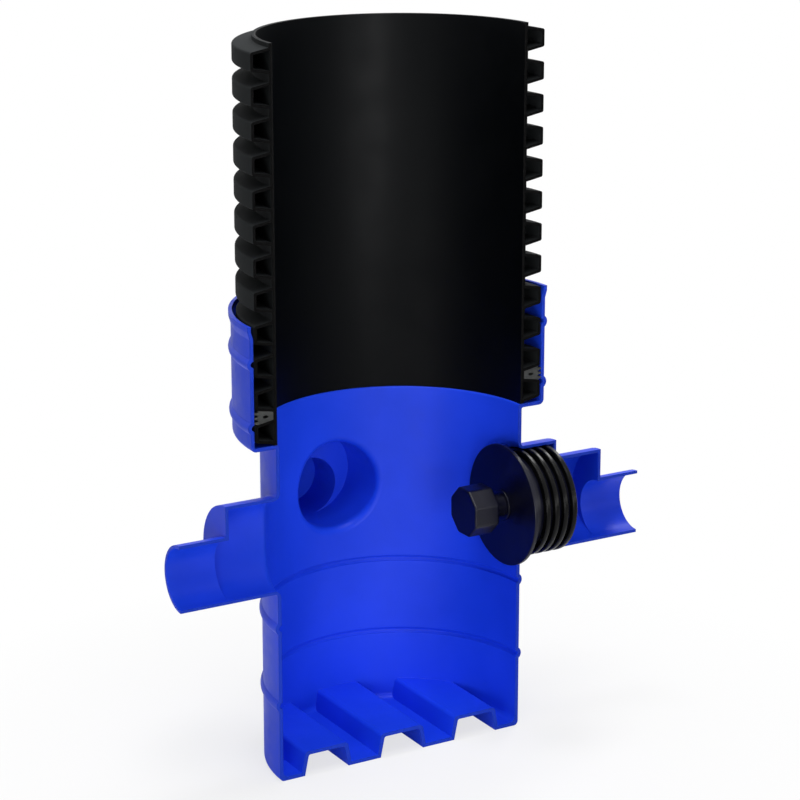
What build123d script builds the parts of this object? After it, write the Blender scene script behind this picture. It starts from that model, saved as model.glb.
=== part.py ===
from build123d import *
import math
import os

# Flow control chamber for surface water, shown cut through its axis. All sizes in millimetres.
# The origin is on the chamber axis at the underside of the feet. The cut is the plane Y = 0, and
# the material lies behind it at +Y. The inlet points to -X, the outlet to +X, and +Z is up.

# Chamber base, one hollow moulding of even wall
chamber_od = 455.0
wall = 6.0
shelf_height = 559.5  # underside of the shelf that carries the riser
foot_radius = 8.0  # rounding of the lowest outer edge
floor_radius = 10.0
shelf_radius = 9.0  # rounding of the outer corner under the socket
shelf_lip_radius = 3.0

# Riser socket at the top of the base
socket_depth = 194.5  # shelf to the top of the rim
rim_flare = 3.5
rim_height = 8.0
rim_taper = 12.0

# Stiffening beads, by height above the feet
bead_rise = 4.5
bead_width = 18.0
base_bead_heights = (130.0, 261.0)
socket_bead_offsets = (32.5, 134.5)  # above the shelf

# Channels that run from front to back under the floor and leave four feet between them
channel_pitch = 141.5
channel_count = 3
channel_mouth = 81.0
channel_draft = 7.5
channel_height = 35.5
channel_radius = 4.0

# Stepped pipe stubs: (outer diameter, distance of the step's end from the axis)
inlet_steps = ((160.0, 317.0), (110.0, 397.0))
back_steps = ((160.0, 317.0), (110.0, 390.0))
outlet_steps = ((190.0, 297.0), (160.0, 387.5), (110.0, 464.0))
inlet_invert = 320.0  # lowest outer line of each stub
outlet_invert = 303.0
stub_wall = 5.0
mouth_radius = 12.0  # rounding where a stub opens into the chamber
root_radius = 5.0  # the same outside
blank_radius = 3.0  # round the closed end; the shoulders are sharp seats for pipe couplers

# Twin wall riser pipe
riser_bore = 450.0
liner_wall = 4.5
rib_wall = 4.5
valley_wall = 6.2  # liner and outer wall fused between two ribs
rib_rise = 30.8  # valley to crest
rib_pitch = 52.5
rib_count = 12
rib_foot = 39.4  # height of a rib at the valley
rib_crest = 28.2  # height of a rib at its crest
rib_radius = 3.5
riser_foot = 22.5  # lower cut end to the middle of the first rib
riser_head = 26.25  # middle of the last rib to the upper cut end

# Rubber ring between riser and socket
socket_gap = 2.5  # rib crest to socket wall
seal_clearance = 0.2
seal_back = 4.0  # seal body below the rib crest
seal_lip_count = 3
seal_lip_root = 5.0
seal_lip_rise = 2.0  # each lip leans upwards by this much
seal_hollow_width = 9.0
seal_hollow_height = 4.5
seal_lip_tip = 2.5
seal_groove = 1  # the groove above this rib, counted from below

# Flow control plug in the outlet
flange_od = 203.0
flange_rim = 6.0
flange_edge = 1.2
flange_seat = 94.0  # radius inside which the back of the flange is flat
flange_gap = 0.4  # flange to chamber wall
drum_gap = 10.0  # drum to the bore of the outlet
drum_length = 83.5
ring_count = 4
ring_thickness = 9.2
ring_pitch = 17.2
ring_first = 20.5  # back of the flange to the first ring
ring_groove = 4.0  # depth of each ring's groove in the drum
ring_round = 2.0
ring_clearance = 0.2
spindle_diameter = 24.0
neck_diameter = 38.0
collar_od = 52.0
collar_thickness = 2.5
knob_flats = 78.5
knob_length = 46.0
knob_reach = 29.0  # front of the flange to the back of the knob
knob_socket = 26.0  # how far the spindle enters the knob
knob_corner = 9.0  # rounding between two flats
knob_edge = 3.5  # rounding round its front and back
washer_od = 60.0
washer_thickness = 4.0
nut_flats = 36.0
nut_thickness = 16.0
spindle_tail = 5.0  # spindle past the nut

# Sizes that follow from those above
chamber_radius = chamber_od / 2
chamber_bore_radius = chamber_radius - wall
riser_bore_radius = riser_bore / 2
valley_radius = riser_bore_radius + valley_wall
crest_radius = valley_radius + rib_rise
socket_bore_radius = crest_radius + socket_gap
socket_radius = socket_bore_radius + wall
shelf_top = shelf_height + wall
socket_top = shelf_top + socket_depth
rib_lean = (rib_foot - rib_crest) / 2 / rib_rise
first_rib = shelf_top + riser_foot
riser_top = first_rib + (rib_count - 1) * rib_pitch + riser_head
outlet_bore_radius = outlet_steps[0][0] / 2 - stub_wall
plug_height = outlet_invert + outlet_steps[0][0] / 2
flange_radius = flange_od / 2
flange_shoulder = math.sqrt(chamber_bore_radius**2 - flange_radius**2) - flange_gap
flange_front = flange_shoulder - flange_rim
flange_back = math.sqrt(chamber_bore_radius**2 - flange_seat**2) - flange_gap
drum_back = flange_back + drum_length
drum_radius = outlet_bore_radius - drum_gap
groove_radius = drum_radius - ring_groove
ring_radius = outlet_bore_radius - ring_clearance
knob_back = flange_front - knob_reach
knob_front = knob_back - knob_length
washer_back = drum_back + washer_thickness
nut_back = washer_back + nut_thickness


# A closed outline in the XZ plane. A stop is a point, or a pair (middle, end) for an arc.
def outline(stops):
    edges = []
    here = stops[0]
    for stop in stops[1:] + stops[:1]:
        if isinstance(stop[0], tuple):
            edges.append(ThreePointArc(here, stop[0], stop[1]))
            here = stop[1]
        elif stop != here:
            edges.append(Line(here, stop))
            here = stop
    return Plane.XZ * make_face(edges)


# A quarter arc from the current point to end, bulging away from centre
def corner(centre, radius, end, out_x, out_z):
    reach = radius * math.sqrt(0.5)
    return ((centre[0] + out_x * reach, centre[1] + out_z * reach), end)


# One bead on a wall of this radius. The arcs of the two skins share a centre, so the wall stays even.
def bead(radius, height, inset):
    arc = (bead_width**2 / 4 + bead_rise**2) / (2 * bead_rise) - inset
    half = math.sqrt(arc**2 - (arc - bead_rise)**2)
    return [(radius, height - half), ((radius + bead_rise, height), (radius, height + half))]


# The outer skin of the base (inset 0) or its inner skin (inset = wall), spun to a solid
def base_body(inset):
    chamber_r = chamber_radius - inset
    socket_r = socket_radius - inset
    bottom = inset
    shelf = shelf_height + inset
    edge = foot_radius if inset == 0 else floor_radius
    stops = [(0.0, bottom), (chamber_r - edge, bottom)]
    stops.append(corner((chamber_r - edge, bottom + edge), edge, (chamber_r, bottom + edge), 1, -1))
    for height in base_bead_heights:
        stops += bead(chamber_r, height, inset)
    under = shelf_lip_radius
    stops.append((chamber_r, shelf - under))
    stops.append(corner((chamber_r + under, shelf - under), under, (chamber_r + under, shelf), -1, 1))
    turn = shelf_radius - inset
    stops.append((socket_r - turn, shelf))
    stops.append(corner((socket_r - turn, shelf + turn), turn, (socket_r, shelf + turn), 1, -1))
    for offset in socket_bead_offsets:
        stops += bead(socket_r, shelf_top + offset, inset)
    stops.append((socket_r, socket_top - rim_height - rim_taper))
    stops.append((socket_r + rim_flare, socket_top - rim_height))
    stops += [(socket_r + rim_flare, socket_top), (0.0, socket_top)]
    return revolve(outline(stops), Axis.Z, 360)


# A stub's outside (inset 0) or its bore, along +X from the chamber axis, turned to its heading
def stub_body(steps, invert, heading, inset, blank=False):
    body = None
    for index, (diameter, end) in enumerate(steps):
        last = index == len(steps) - 1
        reach = end if inset == 0 else end - inset
        if last and inset > 0 and not blank:
            reach = end + inset
        middle = invert + diameter / 2
        step = Pos(0, 0, middle) * Rot(0, 90, 0) * Cylinder(
            diameter / 2 - inset, reach, align=(Align.CENTER, Align.CENTER, Align.MIN)
        )
        if inset == 0 and last and blank:
            step = fillet(step.edges().sort_by(Axis.X)[-1], blank_radius)
        body = step if body is None else body + step
    return Rot(0, 0, heading) * body


# The edges where stubs run into a body of this radius
def junctions(body, radius):
    found = []
    for edge in body.edges():
        points = [edge @ share for share in (0.1, 0.4, 0.7)]
        on_wall = all(abs(math.hypot(p.X, p.Y) - radius) < 0.05 for p in points)
        curved = max(p.Z for p in points) - min(p.Z for p in points) > 1.0
        upright = max(abs(p.X - points[0].X) + abs(p.Y - points[0].Y) for p in points) < 0.05
        if on_wall and curved and not upright:
            found.append(edge)
    return found


# Prism along Y with sloping sides: a channel under the floor, or the ridge over it
def channel_bar(middle, grow):
    half_mouth = channel_mouth / 2 + grow
    half_roof = half_mouth - channel_draft
    roof = channel_height + grow
    low = -grow - 1.0
    spread = half_mouth + channel_draft * (0 - low) / roof
    section = Polyline(
        (middle - spread, low), (middle + spread, low),
        (middle + half_roof, roof), (middle - half_roof, roof), close=True)
    bar = extrude(Plane.XZ * make_face(section), chamber_od, both=True)
    return fillet(bar.edges().filter_by(Axis.Y).sort_by(Axis.Z)[-2:], channel_radius + grow / 2)


# The part of a solid that lies behind the cut
def behind_cut(solid):
    reach = 4 * chamber_od
    return solid & Pos(0, reach / 2, 0) * Box(2 * reach, reach, 2 * reach)


def chamber_base():
    headings = (
        (inlet_steps, inlet_invert, 180, False),
        (back_steps, inlet_invert, 90, True),
        (outlet_steps, outlet_invert, 0, False),
    )
    outside = base_body(0)
    inside = base_body(wall)
    for steps, invert, heading, blank in headings:
        outside += stub_body(steps, invert, heading, 0, blank)
        inside += stub_body(steps, invert, heading, stub_wall, blank)
    outside = fillet(junctions(outside, chamber_radius), root_radius)
    inside = fillet(junctions(inside, chamber_bore_radius), mouth_radius)
    first = -(channel_count - 1) / 2
    for number in range(channel_count):
        middle = (first + number) * channel_pitch
        outside -= channel_bar(middle, 0.0)
        inside -= channel_bar(middle, wall)
    return behind_cut(outside - inside)


# Half of a rib's outline at a given radius, measured up or down from its middle
def rib_half(radius):
    return rib_foot / 2 - rib_lean * (radius - valley_radius)


# Twin wall pipe: a smooth liner, and a hollow rib for each pitch
def riser_pipe():
    stops = [(riser_bore_radius, shelf_top), (valley_radius, shelf_top)]
    hollows = []
    slope = math.atan(rib_lean)
    inner_shift = rib_wall / math.cos(slope)
    hollow_low = riser_bore_radius + liner_wall
    hollow_high = crest_radius - rib_wall
    for number in range(rib_count):
        middle = first_rib + number * rib_pitch
        foot, crest = rib_half(valley_radius), rib_half(crest_radius)
        stops += [(valley_radius, middle - foot), (crest_radius, middle - crest)]
        stops += [(crest_radius, middle + crest), (valley_radius, middle + foot)]
        low = rib_half(hollow_low) - inner_shift
        high = rib_half(hollow_high) - inner_shift
        hollows.append(Polyline(
            (hollow_low, middle - low), (hollow_high, middle - high), (hollow_high, middle + high),
            (hollow_low, middle + low), close=True))
    stops += [(valley_radius, riser_top), (riser_bore_radius, riser_top)]
    section = make_face(Polyline(*stops, close=True))
    crests = [v for v in section.vertices() if abs(v.X - crest_radius) < 0.01]
    section = fillet(crests, rib_radius)
    for hollow in hollows:
        section -= make_face(hollow)
    return revolve(Plane.XZ * section, Axis.Z, 180)


# Rubber ring that fills one groove of the riser and presses its lips on the socket
def socket_seal():
    middle = first_rib + (seal_groove - 0.5) * rib_pitch
    low, high = valley_radius + seal_clearance, crest_radius - seal_back
    half_low = rib_pitch / 2 - rib_half(low) - seal_clearance
    half_high = rib_pitch / 2 - rib_half(high) - seal_clearance
    stops = [(low, middle - half_low)]
    tip = socket_bore_radius - seal_clearance
    space = 2 * half_high / seal_lip_count
    for number in range(seal_lip_count):
        root = middle - half_high + number * space
        stops += [(high, root), (tip, root + seal_lip_rise), (tip, root + seal_lip_rise + seal_lip_tip)]
        stops.append((high, root + seal_lip_root))
    stops += [(high, middle + half_high), (low, middle + half_low)]
    section = make_face(Polyline(*stops, close=True))
    hollow = Pos((low + high) / 2, middle) * SlotOverall(seal_hollow_width, seal_hollow_height)
    return revolve(Plane.XZ * (section - hollow), Axis.Z, 180)


# A round solid about the plug's axis, from (distance from the chamber axis, radius) points
def plug_turned(points):
    section = Plane.XZ * make_face(Polyline(*points, close=True))
    return Pos(0, 0, plug_height) * revolve(section, Axis.X, 360)


def plug_flange():
    hole = spindle_diameter / 2
    return plug_turned([
        (flange_front, hole), (flange_front, flange_radius - flange_edge),
        (flange_front + flange_edge, flange_radius), (flange_shoulder, flange_radius),
        (flange_back, flange_seat), (flange_back, hole)])


def ring_front(number):
    return flange_back + ring_first + number * ring_pitch


def plug_drum():
    hole = spindle_diameter / 2
    points = [(flange_back, hole), (flange_back, drum_radius)]
    for number in range(ring_count):
        front = ring_front(number)
        back = front + ring_thickness
        points += [(front, drum_radius), (front, groove_radius), (back, groove_radius), (back, drum_radius)]
    return plug_turned(points + [(drum_back, drum_radius), (drum_back, hole)])


def ring_seal(number):
    front = ring_front(number)
    back = front + ring_thickness
    rim = ring_radius - ring_round
    return plug_turned([
        (front, groove_radius), (front, rim), (front + ring_round, ring_radius),
        (back - ring_round, ring_radius), (back, rim), (back, groove_radius)])


def plug_spindle():
    shaft, neck = spindle_diameter / 2, neck_diameter / 2
    end = nut_back + spindle_tail
    return plug_turned([
        (knob_back - knob_socket, 0), (knob_back - knob_socket, shaft), (knob_back, shaft), (knob_back, neck),
        (flange_front, neck), (flange_front, shaft), (end, shaft), (end, 0)])


def spindle_collar():
    back = flange_front
    front = back - collar_thickness
    edge = collar_thickness / 4
    hole, rim = neck_diameter / 2, collar_od / 2
    return plug_turned([(front, hole), (front, rim - edge), (front + edge, rim), (back, rim), (back, hole)])


# Prism across the plug's axis between two distances, with this many flats
def flat_sided(flats, across, front, back, turn=0.0):
    section = RegularPolygon(across / 2, flats, major_radius=False, rotation=turn)
    return Pos(front, 0, plug_height) * Rot(0, 90, 0) * extrude(section, back - front)


def bored(solid, front, back, diameter):
    hole = Cylinder(diameter / 2, back - front, align=(Align.CENTER, Align.CENTER, Align.MIN))
    return solid - Pos(front, 0, plug_height) * Rot(0, 90, 0) * hole


def pull_knob():
    grip = flat_sided(8, knob_flats, knob_front, knob_back, 22.5)
    grip = fillet(grip.edges().filter_by(Axis.X), knob_corner)
    ends = grip.edges().group_by(Axis.X)
    grip = fillet(ends[0] + ends[-1], knob_edge)
    return bored(grip, knob_back - knob_socket, knob_back + knob_edge, spindle_diameter)


def rear_washer():
    return plug_turned([
        (drum_back, spindle_diameter / 2), (drum_back, washer_od / 2), (washer_back, washer_od / 2),
        (washer_back, spindle_diameter / 2)])


def rear_nut():
    return bored(flat_sided(6, nut_flats, washer_back, nut_back), washer_back, nut_back, spindle_diameter)


parts = {
    "chamber_base": chamber_base(),
    "riser_pipe": riser_pipe(),
    "socket_seal": socket_seal(),
    "plug_flange": plug_flange(),
    "plug_drum": plug_drum(),
    "plug_spindle": plug_spindle(),
    "spindle_collar": spindle_collar(),
    "pull_knob": pull_knob(),
    "rear_washer": rear_washer(),
    "rear_nut": rear_nut(),
}
for number in range(ring_count):
    parts[f"ring_seal_{number + 1}"] = ring_seal(number)

os.makedirs("parts", exist_ok=True)
for name, shape in parts.items():
    export_step(shape, f"parts/{name}.step")
    print(name, "volume", round(shape.volume / 1000, 1), "cm3")
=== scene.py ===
import math
import bpy
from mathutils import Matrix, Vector

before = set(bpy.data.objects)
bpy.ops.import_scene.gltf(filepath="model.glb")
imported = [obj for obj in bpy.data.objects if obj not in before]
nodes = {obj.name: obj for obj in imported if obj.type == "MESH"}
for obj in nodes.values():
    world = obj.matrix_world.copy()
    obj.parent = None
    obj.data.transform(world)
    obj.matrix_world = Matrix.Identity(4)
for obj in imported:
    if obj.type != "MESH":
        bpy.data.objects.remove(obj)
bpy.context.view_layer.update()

white = (1.0, 1.0, 1.0, 1.0)


# A socket that can be used in sums: an expression on it adds the Math nodes that work it out.
class Signal:
    def __init__(self, board, socket):
        self.board, self.socket = board, socket

    def math(self, operation, first, second):
        return self.board.add("ShaderNodeMath", {"operation": operation}, {0: first, 1: second})

    def __add__(self, other):
        return self.math("ADD", self, other)

    def __radd__(self, other):
        return self.math("ADD", other, self)

    def __sub__(self, other):
        return self.math("SUBTRACT", self, other)

    def __rsub__(self, other):
        return self.math("SUBTRACT", other, self)

    def __mul__(self, other):
        return self.math("MULTIPLY", self, other)

    def __rmul__(self, other):
        return self.math("MULTIPLY", other, self)

    def __gt__(self, other):
        return self.math("GREATER_THAN", self, other)

    def __lt__(self, other):
        return self.math("LESS_THAN", self, other)


# The nodes of one material or world. Every node but the output comes from add.
class Board:
    def __init__(self, tree):
        self.tree = tree

    def add(self, kind, settings=None, inputs=None, output=0):
        node = self.tree.nodes.new(kind)
        for name, value in (settings or {}).items():
            setattr(node, name, value)
        for socket, value in (inputs or {}).items():
            if isinstance(value, Signal):
                self.tree.links.new(value.socket, node.inputs[socket])
            else:
                node.inputs[socket].default_value = value
        return Signal(self, node.outputs[output])

    def show(self, surface, output):
        self.tree.links.new(surface.socket, output.inputs[0])


# A material, with the numbers that are the same all over set on the shader itself
class Finish(Board):
    def __init__(self, name, constants):
        self.material = bpy.data.materials.new(name)
        self.material.use_nodes = True
        super().__init__(self.material.node_tree)
        self.shader = self.find("BSDF_PRINCIPLED")
        for label, value in constants.items():
            self.shader.inputs[label].default_value = value

    def find(self, kind):
        return next(node for node in self.tree.nodes if node.type == kind)

    def drive(self, label, signal):
        self.tree.links.new(signal.socket, self.shader.inputs[label])

    def place(self):
        return self.add("ShaderNodeTexCoord", output="Object")

    def axis(self, vector, index):
        return self.add("ShaderNodeSeparateXYZ", None, {0: vector}, index)

    def length(self, vector):
        return self.add("ShaderNodeVectorMath", {"operation": "LENGTH"}, {0: vector}, "Value")

    def stretch(self, vector, scale):
        return self.add("ShaderNodeVectorMath", {"operation": "MULTIPLY"}, {0: vector, 1: scale})

    def grain(self, vector, detail, scale=1.0):
        return self.add("ShaderNodeTexNoise", None, {"Vector": vector, "Scale": scale, "Detail": detail})

    def spread(self, value, low, high, outLow=0.0, outHigh=1.0):
        return self.add("ShaderNodeMapRange", {"clamp": True},
                        {0: value, 1: low, 2: high, 3: outLow, 4: outHigh})

    def patches(self, vector, marks, outLow=0.0, outHigh=1.0):
        noise = self.grain(vector, marks["detail"], marks["scale"])
        return self.spread(noise, *marks["between"], outLow, outHigh)

    def blend(self, factor, first, second):
        return self.add("ShaderNodeMix", {"data_type": "RGBA"}, {0: factor, 6: first, 7: second}, 2)

    def softEdge(self, radius, samples=6):
        return self.add("ShaderNodeBevel", {"samples": samples}, {"Radius": radius})

    def bump(self, height, **normal):  # the height is in metres
        return self.add("ShaderNodeBump", None, {"Height": height, "Distance": 1.0, "Strength": 1.0, **normal})


def paint(finish, *names):
    for name in names:
        mesh = nodes[name].data
        mesh.materials.clear()
        mesh.materials.append(finish.material)


# Rotationally moulded blue polyethylene: fine orange peel, slow cloudiness, and a sawn face where it is cut,
# coloured darker than the skin as painted shade
bluePlastic = {
    "colour": (0.007, 0.047, 0.67, 1.0),
    # colour of the sawn face: painted shade, darker than the skin so the lit cut face reads as dark as the
    # inside
    "cloud": (0.012, 0.059, 0.79, 1.0),
    "sawnAndShaded": (0.004, 0.034, 0.46, 1.0),
    "roughness": (0.35, 0.47),  # where it is least and most worn
    "sawnRoughness": 0.06,  # added on the sawn face
    "specular": 0.17,
    "edge": 0.0015,
    "clouds": {"scale": 5.0, "detail": 4.0, "between": (0.35, 0.65)},
    "wear": {"scale": 40.0, "detail": 5.0, "between": (0.3, 0.7)},
    "peel": {"scale": 420.0, "detail": 2.0, "height": 0.00012},
    "saw": {"stretch": (30.0, 1.0, 900.0), "detail": 2.0, "height": 0.00005},
    "faceDepth": 0.0004,  # the sawn face reaches this far behind the cutting plane
}


def makeBluePlastic(look):
    finish = Finish("bluePolyethylene", {"Specular IOR Level": look["specular"]})
    peel, saw = look["peel"], look["saw"]
    place = finish.place()
    # mask of the sawn face: it gets the painted shade colour, its own roughness and the saw lines
    sawnAndShaded = finish.axis(place, 1) < look["faceDepth"]
    skin = finish.blend(finish.patches(place, look["clouds"]), look["colour"], look["cloud"])
    # the sawn face takes the darker painted shade colour
    finish.drive("Base Color", finish.blend(sawnAndShaded, skin, look["sawnAndShaded"]))
    wear = finish.patches(place, look["wear"], *look["roughness"])
    finish.drive("Roughness", wear + sawnAndShaded * look["sawnRoughness"])
    pits = finish.grain(place, peel["detail"], peel["scale"])
    lines = finish.grain(finish.stretch(place, saw["stretch"]), saw["detail"])
    height = pits * (1.0 - sawnAndShaded) * peel["height"] + lines * sawnAndShaded * saw["height"]
    finish.drive("Normal", finish.bump(height, Normal=finish.softEdge(look["edge"])))
    return finish


# Extruded black polyethylene of the riser: smooth liner coloured near black and tinted blue as painted shade
# and a painted reflection of the blue chamber, dull dusty ribs outside, and the cut face, coloured as dark as
# the liner as painted shade
blackPipe = {
    # liner colour: painted shade for the pipe's inside, near black, tinted blue as a painted reflection of the
    # blue chamber
    "liner": (0.0005, 0.0008, 0.0012, 1.0),
    "skin": (0.0136, 0.0154, 0.0166, 1.0),
    "dust": (0.0184, 0.0202, 0.0210, 1.0),
    # cut-face colour: painted shade, as dark as the liner rather than the skin's black
    "cut": (0.0006, 0.0006, 0.0007, 1.0),
    "roughness": 0.46,
    "outerRoughness": 0.75,
    "dustRoughness": 0.08,  # added where dust lies
    "specular": 0.065,
    "edge": 0.0005,
    "linerReach": 0.2275,  # metres from the axis, within the liner's wall
    "levelOnly": (1.0, 1.0, 0.0),  # leaves the height out of the distance from the axis
    "dusting": {"scale": 14.0, "detail": 5.0, "between": (0.42, 0.72)},
    "draw": {"stretch": (6.0, 6.0, 700.0), "detail": 3.0, "height": 0.00006},
    "faceDepth": 0.0004,
}


def makeBlackPipe(look):
    finish = Finish("blackPipe", {"Specular IOR Level": look["specular"]})
    draw = look["draw"]
    place = finish.place()
    cut = finish.axis(place, 1) < look["faceDepth"]
    outer = finish.length(finish.stretch(place, look["levelOnly"])) > look["linerReach"]
    dust = finish.patches(place, look["dusting"])
    # inside the liner reach, the painted shade and painted blue reflection take the place of the skin colour
    whole = finish.blend(outer, look["liner"], finish.blend(dust, look["skin"], look["dust"]))
    # the cut face takes the painted shade colour
    finish.drive("Base Color", finish.blend(cut, whole, look["cut"]))
    rise = look["outerRoughness"] - look["roughness"]
    finish.drive("Roughness", outer * rise + look["roughness"] + dust * look["dustRoughness"])
    lines = finish.grain(finish.stretch(place, draw["stretch"]), draw["detail"])
    finish.drive("Normal", finish.bump(lines * draw["height"], Normal=finish.softEdge(look["edge"])))
    return finish


# Moulded black plastic of the plug: fine spark texture with a soft sheen
plugPlastic = {
    "colour": (0.0012, 0.0014, 0.0090, 1.0),
    "rub": (0.0030, 0.0034, 0.0120, 1.0),
    "roughness": (0.30, 0.42),
    "specular": 0.30,
    "edge": 0.0016,
    "spark": {"scale": 900.0, "detail": 2.0, "height": 0.00006},
}

# Rubber of the four rings on the plug
ringRubber = {
    "colour": (0.0004, 0.0005, 0.0006, 1.0),
    "rub": (0.0012, 0.0013, 0.0014, 1.0),
    "roughness": (0.20, 0.32),
    "specular": 0.15,
    "edge": 0.0040,
    "spark": {"scale": 500.0, "detail": 2.0, "height": 0.00004},
}

# Grey rubber of the riser's seal
sealRubber = {
    "colour": (0.030, 0.032, 0.032, 1.0),
    "rub": (0.060, 0.062, 0.060, 1.0),
    "roughness": (0.60, 0.72),
    "specular": 0.3,
    "edge": 0.0006,
    "spark": {"scale": 500.0, "detail": 2.0, "height": 0.00008},
}

# Rub marks, alike on all three
rubMarks = {"scale": 60.0, "detail": 5.0, "between": (0.45, 0.75)}


def makeMoulded(name, look):
    finish = Finish(name, {"Specular IOR Level": look["specular"]})
    spark = look["spark"]
    place = finish.place()
    rub = finish.patches(place, rubMarks)
    finish.drive("Base Color", finish.blend(rub, look["colour"], look["rub"]))
    finish.drive("Roughness", finish.spread(rub, 0.0, 1.0, *look["roughness"]))
    pits = finish.grain(place, spark["detail"], spark["scale"])
    finish.drive("Normal", finish.bump(pits * spark["height"], Normal=finish.softEdge(look["edge"])))
    return finish


# Turned stainless steel of the washer and nut
steel = {
    "colour": (0.55, 0.55, 0.56, 1.0),
    "stain": (0.40, 0.39, 0.38, 1.0),
    "roughness": (0.28, 0.43),
    "stains": {"scale": 80.0, "detail": 4.0, "between": (0.45, 0.7)},
    "turning": {"stretch": (1.0, 0.02, 0.02), "scale": 2400.0, "detail": 2.0, "height": 0.00001},
}


def makeSteel(look):
    finish = Finish("stainlessSteel", {"Metallic": 1.0})
    turning = look["turning"]
    place = finish.place()
    stain = finish.patches(place, look["stains"])
    finish.drive("Base Color", finish.blend(stain, look["colour"], look["stain"]))
    finish.drive("Roughness", finish.spread(stain, 0.0, 1.0, *look["roughness"]))
    lines = finish.grain(finish.stretch(place, turning["stretch"]), turning["detail"], turning["scale"])
    finish.drive("Normal", finish.bump(lines * turning["height"]))
    return finish


print("finishes")
paint(makeBluePlastic(bluePlastic), "chamber_base")
paint(makeBlackPipe(blackPipe), "riser_pipe")
paint(makeMoulded("sealRubber", sealRubber), "socket_seal")
paint(makeMoulded("plugPlastic", plugPlastic), "plug_flange", "plug_drum", "plug_spindle", "spindle_collar",
      "pull_knob")
paint(makeMoulded("ringRubber", ringRubber), "ring_seal_1", "ring_seal_2", "ring_seal_3", "ring_seal_4")
paint(makeSteel(steel), "rear_washer", "rear_nut")

print("camera")
photoView = {
    "turn": 30.5167,  # degrees the line of sight turns from +Y towards +X
    "drop": 14.7363,  # degrees it drops below the level
    "distance": 4.0313,
    "target": (-0.0041, 0.0, 0.7049),
    "lens": 114.8,
    "sensor": 36.0,
    "shift": -0.075,
}


def makeCamera(look):
    turn, drop = math.radians(look["turn"]), math.radians(look["drop"])
    sight = Vector((math.sin(turn) * math.cos(drop), math.cos(turn) * math.cos(drop), -math.sin(drop)))
    data = bpy.data.cameras.new("photoCamera")
    data.lens, data.sensor_width, data.shift_y = look["lens"], look["sensor"], look["shift"]
    camera = bpy.data.objects.new("photoCamera", data)
    camera.location = Vector(look["target"]) - sight * look["distance"]
    camera.rotation_mode = "QUATERNION"
    camera.rotation_quaternion = sight.to_track_quat("-Z", "Y")
    bpy.context.scene.collection.objects.link(camera)
    bpy.context.scene.camera = camera


makeCamera(photoView)

print("studio")
studio = {
    "world": 0.31,
    "backdrop": 1.0,
    "lamps": (  # name, place, aim, size, watts, degrees it spreads over
        ("key", (-0.4, -1.4, 3.6), (0.0, 0.0, 0.3), 1.4, 36.0, 180.0),
        ("top", (-0.2, 0.2, 3.6), (0.0, 0.0, 0.3), 0.8, 42.0, 180.0),
        ("front", (-0.15, -1.9, 0.8), (0.0, 0.1, 1.08), 0.5, 1.35, 38.0),
        ("low", (-0.45, -1.8, 0.25), (0.0, 0.15, 0.05), 0.6, 0.45, 31.0),
        ("side", (-1.4, -1.3, 0.3), (0.1, 0.1, 0.2), 0.6, 6.3, 180.0),
        ("outlet", (1.2, -1.5, 0.6), (0.4, 0.0, 0.36), 0.5, 0.08, 30.0),
        ("rim", (2.0, 1.2, 3.2), (0.2, 0.0, 0.5), 1.0, 40.0, 180.0),
    ),
}

# A pale floor that turns white away from the feet, as the photo's ground is
paleFloor = {
    "reach": 12.0,
    "drop": 0.0002,  # below the feet
    "colour": (0.84, 0.84, 0.84, 1.0),
    "speck": (0.86, 0.86, 0.86, 1.0),
    "specks": {"scale": 3.0, "detail": 2.0},
    "roughness": 0.9,
    "specular": 0.1,
    "fade": (0.25, 0.9),  # metres from the middle
    "white": (0.72, 1.0),  # how white it is at either end of the fade
    "glow": 1.0,
}


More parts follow.
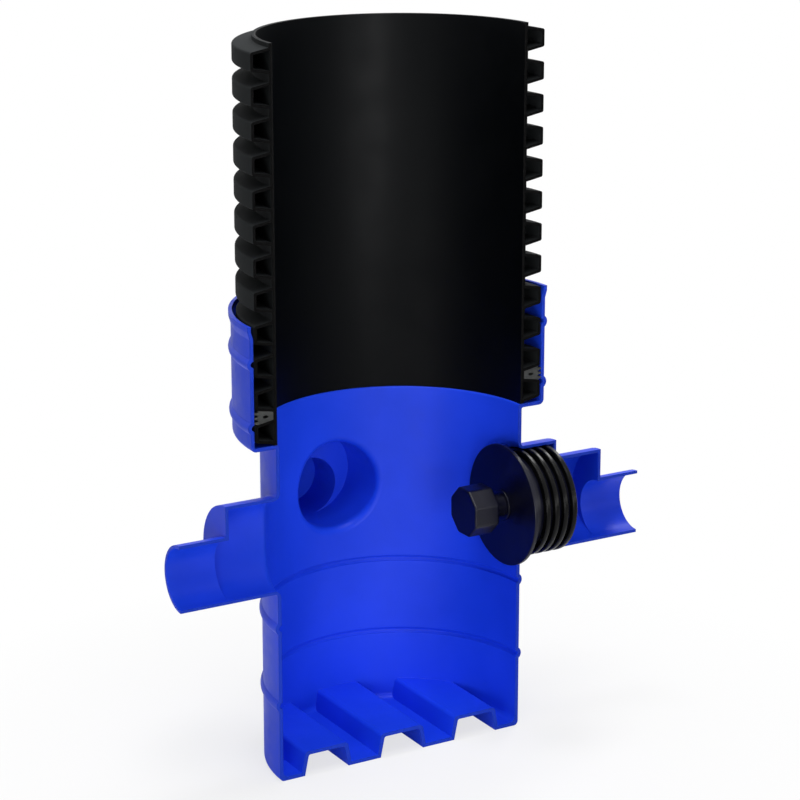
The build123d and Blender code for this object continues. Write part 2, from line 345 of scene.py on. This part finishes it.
def makeWorld(look):
    world = bpy.data.worlds.new("studio")
    world.use_nodes = True
    bpy.context.scene.world = world
    board = Board(world.node_tree)
    board.tree.nodes.clear()
    seen = board.add("ShaderNodeLightPath", output="Is Camera Ray")
    for ray in ("Is Glossy Ray", "Is Transmission Ray"):
        seen = seen.math("MAXIMUM", seen, board.add("ShaderNodeLightPath", output=ray))
    lit = board.add("ShaderNodeBackground", None, {"Color": white, "Strength": look["world"]})
    shown = board.add("ShaderNodeBackground", None, {"Color": white, "Strength": look["backdrop"]})
    mix = board.add("ShaderNodeMixShader", None, {0: seen, 1: lit, 2: shown})
    board.show(mix, board.tree.nodes.new("ShaderNodeOutputWorld"))


def makeFloor(look):
    reach, level = look["reach"], -look["drop"]
    corners = [(x, y, level) for x, y in ((-reach, -reach), (reach, -reach), (reach, reach), (-reach, reach))]
    mesh = bpy.data.meshes.new("studioFloor")
    mesh.from_pydata(corners, [], [(0, 1, 2, 3)])
    floor = bpy.data.objects.new("studioFloor", mesh)
    bpy.context.scene.collection.objects.link(floor)
    finish = Finish("studioFloor", {"Roughness": look["roughness"], "Specular IOR Level": look["specular"]})
    place = finish.place()
    specks = finish.grain(place, look["specks"]["detail"], look["specks"]["scale"])
    finish.drive("Base Color", finish.blend(specks, look["colour"], look["speck"]))
    seen = finish.add("ShaderNodeLightPath", output="Is Camera Ray")
    far = finish.spread(finish.length(place), *look["fade"], *look["white"]) * seen
    glow = finish.add("ShaderNodeEmission", None, {"Color": white, "Strength": look["glow"]})
    surface = Signal(finish, finish.shader.outputs[0])
    mix = finish.add("ShaderNodeMixShader", None, {0: far, 1: surface, 2: glow})
    finish.show(mix, finish.find("OUTPUT_MATERIAL"))
    mesh.materials.append(finish.material)


def makeLamps(look):
    for name, place, aim, size, watts, degrees in look["lamps"]:
        data = bpy.data.lights.new(name, "AREA")
        data.shape, data.size, data.energy, data.spread = "SQUARE", size, watts, math.radians(degrees)
        lamp = bpy.data.objects.new(name, data)
        lamp.location = place
        lamp.visible_camera = False
        lamp.rotation_mode = "QUATERNION"
        lamp.rotation_quaternion = (Vector(aim) - Vector(place)).to_track_quat("-Z", "Y")
        bpy.context.scene.collection.objects.link(lamp)


makeWorld(studio)
makeFloor(paleFloor)
makeLamps(studio)
bpy.context.scene.view_settings.view_transform = "Standard"

print("finish")
